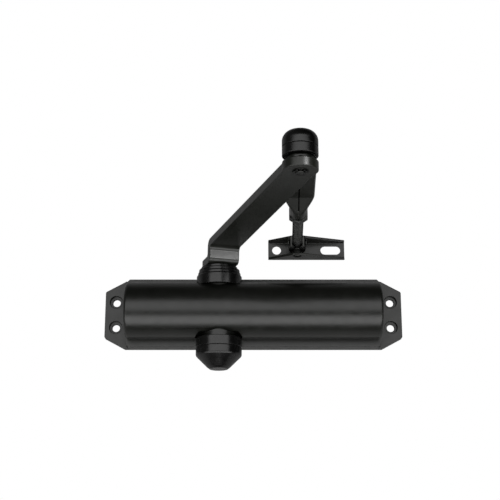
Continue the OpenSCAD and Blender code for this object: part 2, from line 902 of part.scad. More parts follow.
// Screw slot with round ends
module shoe_slot() {
    reach = shoe_slot_length / 2 - shoe_hole_d / 2;
    translate([shoe_hole_x + shoe_hole_span, 1, shoe_mid_z])
        rotate([90, 0, 0]) {
            for (s = [-1, 1])
                translate([s * reach, 0, 0]) cylinder(h = shoe_t + 2, r = shoe_hole_d / 2, $fn = 40);
            translate([-reach, -shoe_hole_d / 2, 0]) cube([2 * reach, shoe_hole_d, shoe_t + 2]);
        }
}

module shoe_rivet() {
    color(bright_steel)
        translate([shoe_x, shoe_y, 0]) {
            cylinder_between(shoe_low_z - 0.05, shoe_low_z + shoe_height + 0.05, rivet_r);
            for (s = [0, 1])
                translate([0, 0, shoe_mid_z])
                    mirror([0, 0, s])
                        translate([0, 0, shoe_height / 2 + 0.02])
                            rotate_extrude()
                                polygon([
                                    [0, 0], [shoe_head_r, 0], [shoe_head_r - 0.3, 0.7],
                                    [shoe_head_r - 1.3, 1.2], [0, 1.4]
                                ]);
        }
}

module shoe_washers() {
    gap = (shoe_height - 2 * shoe_t - yoke_h) / 2;
    color(bright_steel)
        for (s = [-1, 1])
            translate([shoe_x, shoe_y, shoe_mid_z + s * (yoke_h + gap) / 2])
                difference() {
                    cylinder(h = gap - 0.06, r = shoe_washer_r, center = true);
                    cylinder(h = gap + 1, r = rivet_r + 0.02, center = true);
                }
}

// ---------------------------------------------------------------- assembly

body_casting();
spring_end_plug();
valve_end_plug();
plug_o_rings();
upper_bearing_nut();
lower_bearing_nut();
bearing_bushes();
pinion_o_rings();
pinion_collar();
lower_trim_ring();
pinion_cap();
main_spring();
closing_valve();
closing_valve_seal();
latching_valve();
latching_valve_seal();
piston();
check_ball();
check_ball_retainer();
pinion_shaft();
main_arm();
arm_washer();
arm_screw();
elbow_bush();
forearm();
elbow_pin();
elbow_clip();
knuckle_ring();
knuckle_cap();
threaded_insert();
adjuster_rod();
cross_pin();
lock_nut();
swivel_yoke();
shoe_bracket();
shoe_rivet();
shoe_washers();
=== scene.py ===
"""Looks of an overhead door closer: satin black body, cranked main arm, forearm, adjusting rod and shoe.

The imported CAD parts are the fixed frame. Each part that shows is built again here with rounded edges and
fine detail, in the place that the frame gives, and every part gets a procedural material.
Lengths are in millimetres until a mesh is made.
"""

import json
import math

import bmesh
import bpy
from mathutils import Matrix, Vector


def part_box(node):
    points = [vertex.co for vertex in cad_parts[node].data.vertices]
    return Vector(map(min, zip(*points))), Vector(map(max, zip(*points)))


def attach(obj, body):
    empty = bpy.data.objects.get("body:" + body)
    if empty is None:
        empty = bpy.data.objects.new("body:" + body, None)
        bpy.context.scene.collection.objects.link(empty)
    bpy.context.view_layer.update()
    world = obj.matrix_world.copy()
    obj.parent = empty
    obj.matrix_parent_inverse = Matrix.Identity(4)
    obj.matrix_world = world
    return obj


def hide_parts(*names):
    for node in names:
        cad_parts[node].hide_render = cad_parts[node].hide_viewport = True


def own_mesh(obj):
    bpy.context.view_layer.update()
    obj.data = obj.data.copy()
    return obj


MM = 0.001
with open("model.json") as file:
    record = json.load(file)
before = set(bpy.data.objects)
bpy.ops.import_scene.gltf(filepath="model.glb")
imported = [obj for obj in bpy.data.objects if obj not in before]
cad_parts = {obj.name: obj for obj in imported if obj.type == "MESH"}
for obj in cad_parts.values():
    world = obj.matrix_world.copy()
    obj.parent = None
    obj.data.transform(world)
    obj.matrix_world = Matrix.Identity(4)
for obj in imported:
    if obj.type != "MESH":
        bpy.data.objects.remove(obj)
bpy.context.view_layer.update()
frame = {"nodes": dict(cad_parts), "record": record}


# ---------------------------------------------------------------- places, from the frame


def box_mm(node):
    low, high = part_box(node)
    return low / MM, high / MM


def middle(node):
    low, high = box_mm(node)
    return (low + high) / 2


def placed(origin, toward=None, z=0.0):
    """A matrix with its origin at a point and its X axis, in plan, towards another point."""
    turn = Matrix.Identity(4)
    if toward is not None:
        turn = Matrix.Rotation(math.atan2(toward.y - origin.y, toward.x - origin.x), 4, "Z")
    return Matrix.Translation(Vector((origin.x, origin.y, z)) * MM) @ turn


PINION = middle("pinion_collar")
ELBOW = middle("knuckle_cap")
SHOE = middle("shoe_washers")
WORLD = Matrix.Identity(4)
AT_PINION = placed(PINION)
AT_ELBOW = placed(ELBOW)
AT_SHOE = placed(SHOE, z=SHOE.z)
ALONG_ARM = placed(PINION, ELBOW)
ALONG_FOREARM = placed(ELBOW, SHOE)
FROM_SHOE = placed(SHOE, ELBOW, z=SHOE.z)
ARM_LENGTH = (ELBOW - PINION).xy.length
FOREARM_LENGTH = (SHOE - ELBOW).xy.length


# ---------------------------------------------------------------- outlines


def arc(centre, radius, start, sweep, steps=8):
    """Points on a circle's arc; angles in degrees."""
    points = []
    for i in range(steps + 1):
        a = math.radians(start + sweep * i / steps)
        points.append((centre[0] + radius * math.cos(a), centre[1] + radius * math.sin(a)))
    return points


def rounded(corners, steps=6):
    """A closed outline from corners given as (x, y) or (x, y, radius)."""
    points = []
    count = len(corners)
    for i, corner in enumerate(corners):
        p = Vector(corner[:2])
        radius = corner[2] if len(corner) > 2 else 0
        if not radius:
            points.append(tuple(p))
            continue
        u = (Vector(corners[i - 1][:2]) - p).normalized()
        v = (Vector(corners[(i + 1) % count][:2]) - p).normalized()
        half = math.acos(max(-1, min(1, u.dot(v)))) / 2
        centre = p + (u + v).normalized() * radius / math.sin(half)
        start = p + u * radius / math.tan(half) - centre
        end = p + v * radius / math.tan(half) - centre
        a = math.degrees(math.atan2(start.y, start.x))
        turn = (math.degrees(math.atan2(end.y, end.x)) - a + 540) % 360 - 180
        points += arc(centre, radius, a, turn, steps)
    return points


# ---------------------------------------------------------------- meshes


def new_piece(name, bm, matrix=WORLD):
    """An object from a bmesh drawn in millimetres in the matrix's own frame."""
    bmesh.ops.remove_doubles(bm, verts=bm.verts, dist=1e-4)
    bmesh.ops.dissolve_degenerate(bm, edges=bm.edges, dist=1e-4)
    bmesh.ops.recalc_face_normals(bm, faces=bm.faces)
    bmesh.ops.scale(bm, vec=(MM, MM, MM), verts=bm.verts)
    mesh = bpy.data.meshes.new(name)
    bm.to_mesh(mesh)
    bm.free()
    piece = bpy.data.objects.new(name, mesh)
    bpy.context.scene.collection.objects.link(piece)
    piece.matrix_world = matrix
    return piece


def lathe(name, profile, matrix=WORLD, steps=128, axis="Z"):
    """A closed (radius, height) profile turned about Z, or about X."""
    bm = bmesh.new()
    rings = []
    for i in range(steps):
        a = 2 * math.pi * i / steps
        c, s = math.cos(a), math.sin(a)
        if axis == "Z":
            rings.append([bm.verts.new((r * c, r * s, h)) for r, h in profile])
        else:
            rings.append([bm.verts.new((h, r * c, r * s)) for r, h in profile])
    for i in range(steps):
        here, there = rings[i], rings[(i + 1) % steps]
        for j in range(len(profile)):
            k = (j + 1) % len(profile)
            if profile[j][0] > 1e-6 or profile[k][0] > 1e-6:
                bm.faces.new((here[j], there[j], there[k], here[k]))
    return new_piece(name, bm, matrix)


def prism(name, outline, low, high, matrix=WORLD, plane="XY"):
    """A closed outline drawn in XY, XZ or YZ, extruded along the third axis from low to high."""
    place = {
        "XY": lambda a, b, h: (a, b, h),
        "XZ": lambda a, b, h: (a, h, b),
        "YZ": lambda a, b, h: (h, a, b),
    }[plane]
    bm = bmesh.new()
    bottom = [bm.verts.new(place(a, b, low)) for a, b in outline]
    top = [bm.verts.new(place(a, b, high)) for a, b in outline]
    bm.faces.new(bottom)
    bm.faces.new(top)
    count = len(outline)
    for i in range(count):
        j = (i + 1) % count
        bm.faces.new((bottom[i], bottom[j], top[j], top[i]))
    return new_piece(name, bm, matrix)


def loft(name, rings, matrix=WORLD):
    """A skin over rings of points, closed at both ends."""
    bm = bmesh.new()
    rows = [[bm.verts.new(p) for p in ring] for ring in rings]
    count = len(rows[0])
    for here, there in zip(rows, rows[1:]):
        for i in range(count):
            j = (i + 1) % count
            bm.faces.new((here[i], here[j], there[j], there[i]))
    bm.faces.new(rows[0])
    bm.faces.new(rows[-1])
    return new_piece(name, bm, matrix)


def settle(piece):
    """Turn a piece's modifiers into its mesh."""
    graph = bpy.context.evaluated_depsgraph_get()
    mesh = bpy.data.meshes.new_from_object(piece.evaluated_get(graph), depsgraph=graph)
    old = piece.data
    piece.modifiers.clear()
    piece.data = mesh
    mesh.name = piece.name
    bpy.data.meshes.remove(old)
    return piece


def combine(piece, tools, operation="DIFFERENCE"):
    """Cut all the tools from a piece at once, or join or intersect them with it, and use them up."""
    group = bpy.data.collections.new("tools")
    for tool in tools:
        group.objects.link(tool)
    modifier = piece.modifiers.new("combine", "BOOLEAN")
    modifier.operation = operation
    modifier.solver = "EXACT"
    modifier.operand_type = "COLLECTION"
    modifier.collection = group
    settle(piece)
    for tool in tools:
        mesh = tool.data
        bpy.data.objects.remove(tool)
        bpy.data.meshes.remove(mesh)
    bpy.data.collections.remove(group)
    return piece


def soften(piece, width, segments=3, angle=32):
    """Round the sharp edges by a width in millimetres."""
    modifier = piece.modifiers.new("soften", "BEVEL")
    modifier.width = width * MM
    modifier.segments = segments
    modifier.limit_method = "ANGLE"
    modifier.angle_limit = math.radians(angle)
    modifier.use_clamp_overlap = False
    modifier.miter_outer = "MITER_ARC"
    return settle(piece)


def polish(piece, angle=40):
    """Smooth shading that keeps flats flat and sharp edges sharp."""
    mesh = piece.data
    mesh.polygons.foreach_set("use_smooth", [True] * len(mesh.polygons))
    mesh.set_sharp_from_angle(angle=math.radians(angle))
    modifier = piece.modifiers.new("normals", "WEIGHTED_NORMAL")
    modifier.keep_sharp = True
    modifier.weight = 80
    return piece


def ready(piece, body, slot, *nodes, angle=40):
    """Finish a piece: its shading, its material, the body it rides on and the CAD nodes it stands for."""
    polish(piece, angle)
    piece.data.materials.clear()
    piece.data.materials.append(MATERIALS[slot])
    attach(piece, body)
    if nodes:
        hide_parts(*nodes)
    return piece


def hex_outline(across):
    return arc((0, 0), across / 2 / math.cos(math.pi / 6), 0, 300, 5)


def drill(name, radius, low, high, matrix=WORLD, steps=64):
    """A plain round bar along Z."""
    return lathe(name, [(0, low), (radius, low), (radius, high), (0, high)], matrix, steps)


def flared_hole(name, radius, low, high, flare, matrix=WORLD, steps=64):
    """A drill with a small cone at both ends, so that a hole gets broken edges; it runs along Z."""
    return lathe(
        name,
        [
            (0, low - 1), (radius + flare + 1, low - 1), (radius, low + flare),
            (radius, high - flare), (radius + flare + 1, high + 1), (0, high + 1),
        ],
        matrix,
        steps,
    )


# ---------------------------------------------------------------- materials


class Recipe:
    """A Principled material, with short calls for the nodes that feed it."""

    def __init__(self, name, metallic, roughness, specular=0.5):
        self.material = bpy.data.materials.new(name)
        self.material.use_nodes = True
        self.tree = self.material.node_tree
        self.shader = self.tree.nodes["Principled BSDF"]
        self.shader.inputs["Metallic"].default_value = metallic
        self.shader.inputs["Roughness"].default_value = roughness
        self.shader.inputs["Specular IOR Level"].default_value = specular
        self.where = self.tree.nodes.new("ShaderNodeTexCoord").outputs["Object"]

    def link(self, output, target):
        self.tree.links.new(output, target)

    def stretched(self, scale):
        node = self.tree.nodes.new("ShaderNodeMapping")
        node.inputs["Scale"].default_value = scale
        self.link(self.where, node.inputs["Vector"])
        return node.outputs["Vector"]

    def noise(self, scale, detail=2.0, where=None):
        node = self.tree.nodes.new("ShaderNodeTexNoise")
        node.inputs["Scale"].default_value = scale
        node.inputs["Detail"].default_value = detail
        self.link(where or self.where, node.inputs["Vector"])
        return node.outputs["Fac"]

    def rings(self, scale):
        node = self.tree.nodes.new("ShaderNodeTexWave")
        node.wave_type = "RINGS"
        node.rings_direction = "Z"
        node.inputs["Scale"].default_value = scale
        node.inputs["Distortion"].default_value = 0.3
        self.link(self.where, node.inputs["Vector"])
        return node.outputs["Fac"]

    def spread(self, value, low, high, start=0.3, end=0.7):
        node = self.tree.nodes.new("ShaderNodeMapRange")
        node.inputs["From Min"].default_value = start
        node.inputs["From Max"].default_value = end
        node.inputs["To Min"].default_value = low
        node.inputs["To Max"].default_value = high
        self.link(value, node.inputs["Value"])
        return node.outputs["Result"]

    def mix(self, factor, first, second):
        """A colour between two, each a colour or another node's output."""
        node = self.tree.nodes.new("ShaderNodeMix")
        node.data_type = "RGBA"
        self.link(factor, node.inputs["Factor"])
        for socket, value in ((node.inputs[6], first), (node.inputs[7], second)):
            if isinstance(value, tuple):
                socket.default_value = (*value, 1)
            else:
                self.link(value, socket)
        return node.outputs[2]

    def edges(self, radius):
        """One along rounded edges and nought on flats, from how far the normal turns nearby."""
        bevel = self.tree.nodes.new("ShaderNodeBevel")
        bevel.samples = 4
        bevel.inputs["Radius"].default_value = radius * MM
        surface = self.tree.nodes.new("ShaderNodeNewGeometry")
        dot = self.tree.nodes.new("ShaderNodeVectorMath")
        dot.operation = "DOT_PRODUCT"
        self.link(bevel.outputs["Normal"], dot.inputs[0])
        self.link(surface.outputs["Normal"], dot.inputs[1])
        return self.spread(dot.outputs["Value"], 1.0, 0.0, 0.86, 0.985)

    def bump(self, heights):
        """Relief from several (height output, depth in mm) pairs."""
        normal = None
        for height, depth in heights:
            node = self.tree.nodes.new("ShaderNodeBump")
            node.inputs["Distance"].default_value = depth * MM
            self.link(height, node.inputs["Height"])
            if normal is not None:
                self.link(normal, node.inputs["Normal"])
            normal = node.outputs["Normal"]
        self.link(normal, self.shader.inputs["Normal"])

    def colour(self, output):
        self.link(output, self.shader.inputs["Base Color"])

    def rough(self, output):
        self.link(output, self.shader.inputs["Roughness"])


def satin_paint(name, dark, light, worn, roughness, peel):
    """Baked satin paint: a fine orange peel, cloudy sheen, and edges rubbed a little thinner."""
    r = Recipe(name, metallic=0.0, roughness=roughness)
    clouds = r.noise(38, 4)
    grain = r.noise(1700, 2)
    body = r.mix(r.spread(clouds, 0, 1), dark, light)
    specks = r.spread(r.noise(3100, 1), 0, 0.35, 0.66, 0.78)
    body = r.mix(specks, body, worn)
    rubbed = r.edges(0.5)
    r.colour(r.mix(rubbed, body, worn))
    r.rough(r.spread(r.noise(160, 3), roughness - 0.035, roughness + 0.045))
    r.bump([(r.noise(620, 2), peel), (grain, peel * 0.35)])
    return r.material


def moulded_plastic(name, dark, light, roughness):
    """Black moulded plastic with a spark-eroded grain."""
    r = Recipe(name, metallic=0.0, roughness=roughness)
    r.colour(r.mix(r.spread(r.noise(60, 3), 0, 1), dark, light))
    r.rough(r.spread(r.noise(210, 3), roughness - 0.03, roughness + 0.05))
    r.bump([(r.noise(2300, 2), 0.003), (r.noise(420, 1), 0.002)])
    return r.material


def worked_steel(name, dark, light, roughness, lines, depth=0.004):
    """Machined or plated metal: stretched tool marks, blotches and a slight change of gloss."""
    r = Recipe(name, metallic=1.0, roughness=roughness)
    marks = r.noise(900, 2, r.stretched(lines))
    blotches = r.noise(130, 4)
    r.colour(r.mix(r.spread(blotches, 0, 1), dark, light))
    r.rough(r.spread(r.noise(340, 3), roughness - 0.06, roughness + 0.07))
    r.bump([(marks, depth)])
    return r.material


def turned_steel(name, dark, light, roughness):
    """Blackened metal turned on a lathe: rings about the piece's own axis."""
    r = Recipe(name, metallic=1.0, roughness=roughness)
    r.colour(r.mix(r.spread(r.noise(240, 4), 0, 1), dark, light))
    r.rough(r.spread(r.noise(500, 2), roughness - 0.05, roughness + 0.06))
    r.bump([(r.rings(1400), 0.002), (r.noise(1500, 2), 0.003)])
    return r.material


def seal_rubber(name):
    r = Recipe(name, metallic=0.0, roughness=0.6, specular=0.4)
    r.colour(r.mix(r.spread(r.noise(200, 3), 0, 1), (0.008, 0.008, 0.008), (0.02, 0.02, 0.019)))
    r.rough(r.spread(r.noise(700, 2), 0.5, 0.7))
    r.bump([(r.noise(1900, 2), 0.008)])
    return r.material


def slit_shade_paint(name):
    """Near-black dull paint for the faces inside the forearm's slit: painted shade, standing in for the shade
    inside the narrow slit.
    """
    r = Recipe(name, metallic=0.0, roughness=0.9, specular=0.03)
    r.colour(r.mix(r.spread(r.noise(300, 3), 0, 1), (0.0006, 0.0006, 0.0005), (0.0014, 0.0014, 0.0012)))
    r.rough(r.spread(r.noise(500, 2), 0.8, 1.0))
    r.bump([(r.noise(900, 2), 0.003)])
    return r.material


def sintered_bronze(name):
    r = Recipe(name, metallic=1.0, roughness=0.5)
    pores = r.spread(r.noise(2600, 1), 0, 1, 0.3, 0.42)
    metal = r.mix(r.spread(r.noise(150, 3), 0, 1), (0.36, 0.22, 0.10), (0.50, 0.32, 0.15))
    r.colour(r.mix(pores, (0.08, 0.05, 0.03), metal))
    r.rough(r.spread(r.noise(400, 3), 0.4, 0.6))
    r.bump([(pores, 0.01)])
    return r.material


MATERIALS = {
    "black_painted_aluminium": satin_paint(
        "satin_black_casting", (0.0042, 0.0046, 0.0036), (0.0070, 0.0074, 0.0060), (0.016, 0.016, 0.014),
        0.32, 0.006,
    ),
    "black_painted_steel": satin_paint(
        "satin_black_steel", (0.0046, 0.0052, 0.0038), (0.0075, 0.0082, 0.0064), (0.018, 0.018, 0.016),
        0.31, 0.006,
    ),
    "black_plastic": moulded_plastic(
        "black_moulded_plastic", (0.0020, 0.0020, 0.0020), (0.0036, 0.0036, 0.0035), 0.24
    ),
    "zinc_steel": worked_steel("zinc_plated_steel", (0.42, 0.42, 0.40), (0.58, 0.57, 0.53), 0.34, (1, 1, 9)),
    "blackened_steel": turned_steel("blackened_steel", (0.030, 0.031, 0.030), (0.060, 0.060, 0.057), 0.29),
    "bright_steel": worked_steel(
        "bright_steel", (0.52, 0.52, 0.51), (0.66, 0.66, 0.64), 0.22, (1, 1, 14), depth=0.003
    ),
    "spring_steel": worked_steel("spring_steel", (0.10, 0.10, 0.10), (0.22, 0.21, 0.20), 0.38, (14, 1, 1)),
    "raw_aluminium": worked_steel("raw_aluminium", (0.62, 0.62, 0.61), (0.76, 0.76, 0.75), 0.30, (1, 9, 9)),
    "sintered_bronze": sintered_bronze("sintered_bronze"),
    "seal_rubber": seal_rubber("seal_rubber"),
    # painted shade: a near-black dull material for the faces inside the forearm's slit
    "seam_shade": slit_shade_paint("slit_shade_paint"),
}


def dress_cad_nodes():
    """Give every CAD node the material of its own slot in the record."""
    for row in frame["record"]["subparts"]:
        node = frame["nodes"][row["node"]]
        node.data.materials.clear()
        node.data.materials.append(MATERIALS[row["material_slot"]])


# ---------------------------------------------------------------- body

CASTING_LOW, CASTING_HIGH = box_mm("body_casting")
HALF_L = CASTING_HIGH.x
HALF_H = CASTING_HIGH.z
HALF_B = 93.0
BARREL_R = 20.5
BARREL_Y = CASTING_LOW.y + BARREL_R
EAR_T = 6.0
BLOCK_DEPTH = 12.0
BOSS_R = 12.0
BOSS_Z = 21.0
SPOTFACE_R = 17.0
SPOTFACE_Z = 17.4
NUT_R = 10.2
BORE_R = 13.3
HOLE_X = 101.5
HOLE_Z = 9.5
HOLE_R = 2.8
RECESS_R = 4.7
RECESS_DEPTH = 3.0
VALVE_Y = -9.5
VALVE_Z = 17.0
VALVE_R = 2.55
VALVE_DEPTH = 23


def barrel_profile(rounding):
    """Half outline of the barrel with rounded ends, as (radius, x)."""
    side = BARREL_R - rounding
    end = HALF_B - rounding
    return (
        [(0, -HALF_B)]
        + [(side + rounding * math.sin(a), -end - rounding * math.cos(a)) for a in quarter(8)]
        + [(side + rounding * math.cos(a), end + rounding * math.sin(a)) for a in quarter(8)]
        + [(0, HALF_B)]
    )


def quarter(steps):
    """Angles from nought to a quarter turn, in radians."""
    return [math.pi / 2 * i / steps for i in range(steps + 1)]


def ear_outline():
    end_z, corner = 17.2, 1.6
    root_x = HALF_B + 1.5
    right = [(root_x, -HALF_H, 1), (HALF_L, -end_z, corner), (HALF_L, end_z, corner), (root_x, HALF_H, 1)]
    return rounded(right + [(-x, z, r) for x, z, r in reversed(right)])


def block_outline():
    chamfer = 1.6
    right = [
        (HALF_B - chamfer, -HALF_H), (HALF_B, -HALF_H + chamfer),
        (HALF_B, HALF_H - chamfer), (HALF_B - chamfer, HALF_H),
    ]
    return right + [(-x, z) for x, z in reversed(right)]


def body_holes():
    """The drills for the bore, the bearing pockets, the screw holes and the valves."""
    along_x = Matrix.Translation(Vector((0, PINION.y, 0)) * MM) @ Matrix.Rotation(math.radians(90), 4, "Y")
    tools = [
        drill("bore_drill", BORE_R, -HALF_B - 1, HALF_B + 1, along_x, 128),
        drill("pocket_drill", NUT_R, -26, 26, AT_PINION, 96),
    ]
    for x in (-HOLE_X, HOLE_X):
        for z in (-HOLE_Z, HOLE_Z):
            at = Matrix.Translation(Vector((x, 0, z)) * MM) @ Matrix.Rotation(math.radians(90), 4, "X")
            floor_at = EAR_T - RECESS_DEPTH
            profile = [
                (0, -1), (HOLE_R, -1), (HOLE_R, floor_at), (RECESS_R, floor_at),
                (RECESS_R, EAR_T + 1), (0, EAR_T + 1),
            ]
            tools.append(lathe("screw_drill", profile, at, 64))
    for s in (-1, 1):
        at = Matrix.Translation(Vector((-HALF_B, VALVE_Y, s * VALVE_Z)) * MM)
        at = at @ Matrix.Rotation(math.radians(90), 4, "Y")
        tools.append(drill("valve_drill", VALVE_R, -1, VALVE_DEPTH, at, 48))
    return tools


def make_body():
    """Plate with two ears, a block, a round barrel and the pinion's bosses; every edge is broken."""
    body = prism("body_shell", ear_outline(), -EAR_T, 0, plane="XZ")
    block = prism("block", block_outline(), -BLOCK_DEPTH, -3, plane="XZ")
    at_barrel = Matrix.Translation(Vector((0, BARREL_Y, 0)) * MM)
    barrel = lathe("barrel", barrel_profile(2.6), at_barrel, 160, "X")
    combine(barrel, [prism("front", [(-120, -3), (120, -3), (120, -60), (-120, -60)], -30, 30)], "INTERSECT")
    combine(body, [block, barrel], "UNION")
    faces = [(SPOTFACE_Z, 31), (-31, -SPOTFACE_Z)]
    combine(body, [drill("spotface", SPOTFACE_R, low, high, AT_PINION, 128) for low, high in faces])
    combine(body, [drill("boss", BOSS_R, -BOSS_Z, BOSS_Z, AT_PINION, 96)], "UNION")
    combine(body, body_holes())
    soften(body, 0.35, 3, 36)
    return ready(body, "closer_body", "black_painted_aluminium", "body_casting")


def make_end_plug(name, node, side):
    """Screwed plug with a broken rim, a raised land and a hexagon socket."""
    low, high = box_mm(node)
    depth = high.x - low.x
    radius = (high.z - low.z) / 2
    face = HALF_B - 0.3
    turn = Matrix.Rotation(math.radians(90 * side), 4, "Y")
    at = Matrix.Translation(Vector((side * face, PINION.y, 0)) * MM) @ turn
    profile = [
        (0, -0.5), (9.4, -0.5), (9.8, 0), (radius - 0.6, 0), (radius, -0.6), (radius, 5.6 - depth),
        (radius - 2.2, 5.6 - depth), (radius - 2.2, 3.2 - depth), (radius, 3.2 - depth),
        (radius, 0.4 - depth), (radius - 0.4, -depth), (0, -depth),
    ]
    plug = lathe(name, profile, at, 96)
    socket = prism("socket", hex_outline(8), -6, 1, at)
    lead_in = lathe("lead_in", [(0, 1), (6.0, 1), (3.9, -1.1), (0, -1.1)], at, 48)
    combine(plug, [socket, lead_in])
    return ready(plug, "closer_body", "blackened_steel", node)


# ---------------------------------------------------------------- trims on the pinion


def make_collar():
    """Stepped plastic collar between the body and the arm."""
    low, high = box_mm("pinion_collar")
    profile = rounded(
        [
            (14.6, low.z), (16.5, low.z, 0.2), (16.5, 25.3, 0.9), (15.6, 25.3, 0.25), (15.6, 27.7, 0.8),
            (14.9, 27.7, 0.25), (14.9, 30.2, 0.8), (13.2, 30.2, 0.3), (13.2, high.z, 0.4), (7.4, high.z, 0.2),
            (7.4, 30.3), (11.4, 28.4, 0.5), (13, 26, 0.5), (14.6, 23),
        ],
        6,
    )
    trim = lathe("collar_trim", profile, AT_PINION)
    return ready(trim, "closer_body", "black_plastic", "pinion_collar", angle=50)


def make_trim_ring():
    low, high = box_mm("lower_trim_ring")
    profile = rounded(
        [
            (10.8, high.z), (16.6, high.z, 0.45), (16.6, low.z, 0.35), (12.2, low.z, 0.2), (12.2, -22.9),
            (10.8, -22.9),
        ],
        6,
    )
    trim = lathe("trim_ring", profile, AT_PINION)
    return ready(trim, "closer_body", "black_plastic", "lower_trim_ring", angle=50)


def make_pinion_cap():
    """Cap over the lower square: a short cylinder, a cone and a small flat tip."""
    low, high = box_mm("pinion_cap")
    profile = rounded(
        [
            (12, -28), (16.6, -28, 0.35), (16.6, -33.7, 2.3), (8.5, -41.8, 2.4),
            (6.6, low.z, 1.2), (0, low.z), (0, -41.2), (5.2, -41, 1), (13.4, -33, 1),
            (13.4, -30), (10.4, -30), (10.4, high.z), (12, high.z),
        ],
        8,
    )
    trim = lathe("spindle_cap", profile, AT_PINION)
    return ready(trim, "closer_body", "black_plastic", "pinion_cap", angle=50)


# ---------------------------------------------------------------- main arm

ARM_LOW, ARM_HIGH = box_mm("main_arm")
ARM_T = 6.0
ROOT_EYE_R = 13.0
TIP_EYE_R = 11.0
ROOT_W = 22.5
TIP_W = 20.0
STEP_FRONT = 14.0
STEP_BACK = STEP_FRONT - ARM_T
SQUARE = 9.4
BUSH_R = 4.6


def make_main_arm():
    """Flat bar with one step up from the root, rounded eyes and softened edges."""
    low, high = ARM_LOW.z, ARM_HIGH.z - ARM_T
    side = rounded(
        [
            (-20, low), (STEP_FRONT - 0.8, low, 4.0), (STEP_FRONT, high, 3.6), (ARM_LENGTH + 20, high),
            (ARM_LENGTH + 20, high + ARM_T), (STEP_BACK, high + ARM_T, 6),
            (STEP_BACK - 0.8, low + ARM_T, 1.5), (-20, low + ARM_T),
        ],
        8,
    )
    arm = prism("cranked_arm", side, -20, 20, ALONG_ARM, "XZ")
    root_turn = math.degrees(math.acos(ROOT_W / 2 / ROOT_EYE_R))
    tip_turn = math.degrees(math.acos(TIP_W / 2 / TIP_EYE_R))
    plan = (
        arc((0, 0), ROOT_EYE_R, 90 + root_turn, 180 - 2 * root_turn, 32)
        + [(24, -ROOT_W / 2)]
        + arc((ARM_LENGTH, 0), TIP_EYE_R, -90 - tip_turn, 180 + 2 * tip_turn, 40)
        + [(24, ROOT_W / 2)]
    )
    combine(arm, [prism("arm_plan", plan, low - 5, high + 15, ALONG_ARM)], "INTERSECT")
    soften(arm, 0.7, 4, 40)
    half = SQUARE / 2 + 0.05
    square = [(-half, -half), (half, -half), (half, half), (-half, half)]
    bush = flared_hole("bush_drill", BUSH_R, high, high + ARM_T, 0.35, ALONG_ARM)
    bush.data.transform(Matrix.Translation(Vector((ARM_LENGTH * MM, 0, 0))))
    combine(arm, [prism("square_drill", square, low - 2, low + ARM_T + 2, ALONG_ARM), bush])
    return ready(arm, "main_arm", "black_painted_steel", "main_arm")


def make_arm_screw():
    """Socket screw that holds the arm down, with its washer."""
    low, high = box_mm("arm_screw")
    head = high.z - 3.4
    profile = rounded(
        [
            (0, low.z), (2.1, low.z, 0.2), (2.5, low.z + 0.6), (2.5, head), (4.8, head, 0.15),
            (4.8, high.z, 1.2), (0, high.z),
        ],
        6,
    )
    screw = lathe("arm_cap_screw", profile, AT_PINION, 96)
    socket = prism("socket", hex_outline(4), high.z - 2, high.z + 1, AT_PINION)
    cone = [(0, high.z + 1), (3.3, high.z + 1), (1.9, high.z - 0.45), (0, high.z - 0.45)]
    combine(screw, [socket, lathe("lead_in", cone, AT_PINION, 48)])
    ready(screw, "main_arm", "blackened_steel", "arm_screw")
    low, high = box_mm("arm_washer")
    washer_profile = rounded(
        [(3.2, low.z), (5.6, low.z, 0.2), (5.6, high.z, 0.35), (3.2, high.z, 0.2)], 4
    )
    washer = lathe("arm_screw_washer", washer_profile, AT_PINION, 96)
    ready(washer, "main_arm", "blackened_steel", "arm_washer")


def make_elbow_bush():
    low, high = box_mm("elbow_bush")
    profile = rounded(
        [(3.55, low.z, 0.2), (4.58, low.z, 0.2), (4.58, high.z, 0.2), (3.55, high.z, 0.2)], 3
    )
    bush = lathe("elbow_liner", profile, AT_ELBOW, 64)
    ready(bush, "main_arm", "black_plastic", "elbow_bush")


# ---------------------------------------------------------------- forearm

FLAT_Z = 50.4
FLAT_T = 3.0
FLAT_HALF_W = 10.2
FLAT_END_R = 8.2
WIDE_FROM = 8.0
FLAT_LENGTH = 65.0
SHOULDER = 23.0
TUBE_END = 98.0
TUBE_Z = SHOE.z
TUBE_R = 6.0
TUBE_BORE_R = 4.6
TUBE_BORE_FROM = 84
INSERT_BORE_R = 3.9
PIN_HOLE_R = 3.52
SEAM_HALF_W = 0.45
SEAM_FROM = 18.0
SEAM_TOP_Z = 52.5
TUBE_AXIS = Matrix.Translation(Vector((0, 0, TUBE_Z)) * MM)
ALONG_TUBE = ALONG_FOREARM @ TUBE_AXIS @ Matrix.Rotation(math.radians(90), 4, "Y")


def ease(t):
    """Smooth step from nought to one."""
    t = max(0.0, min(1.0, t))
    return t * t * (3 - 2 * t)


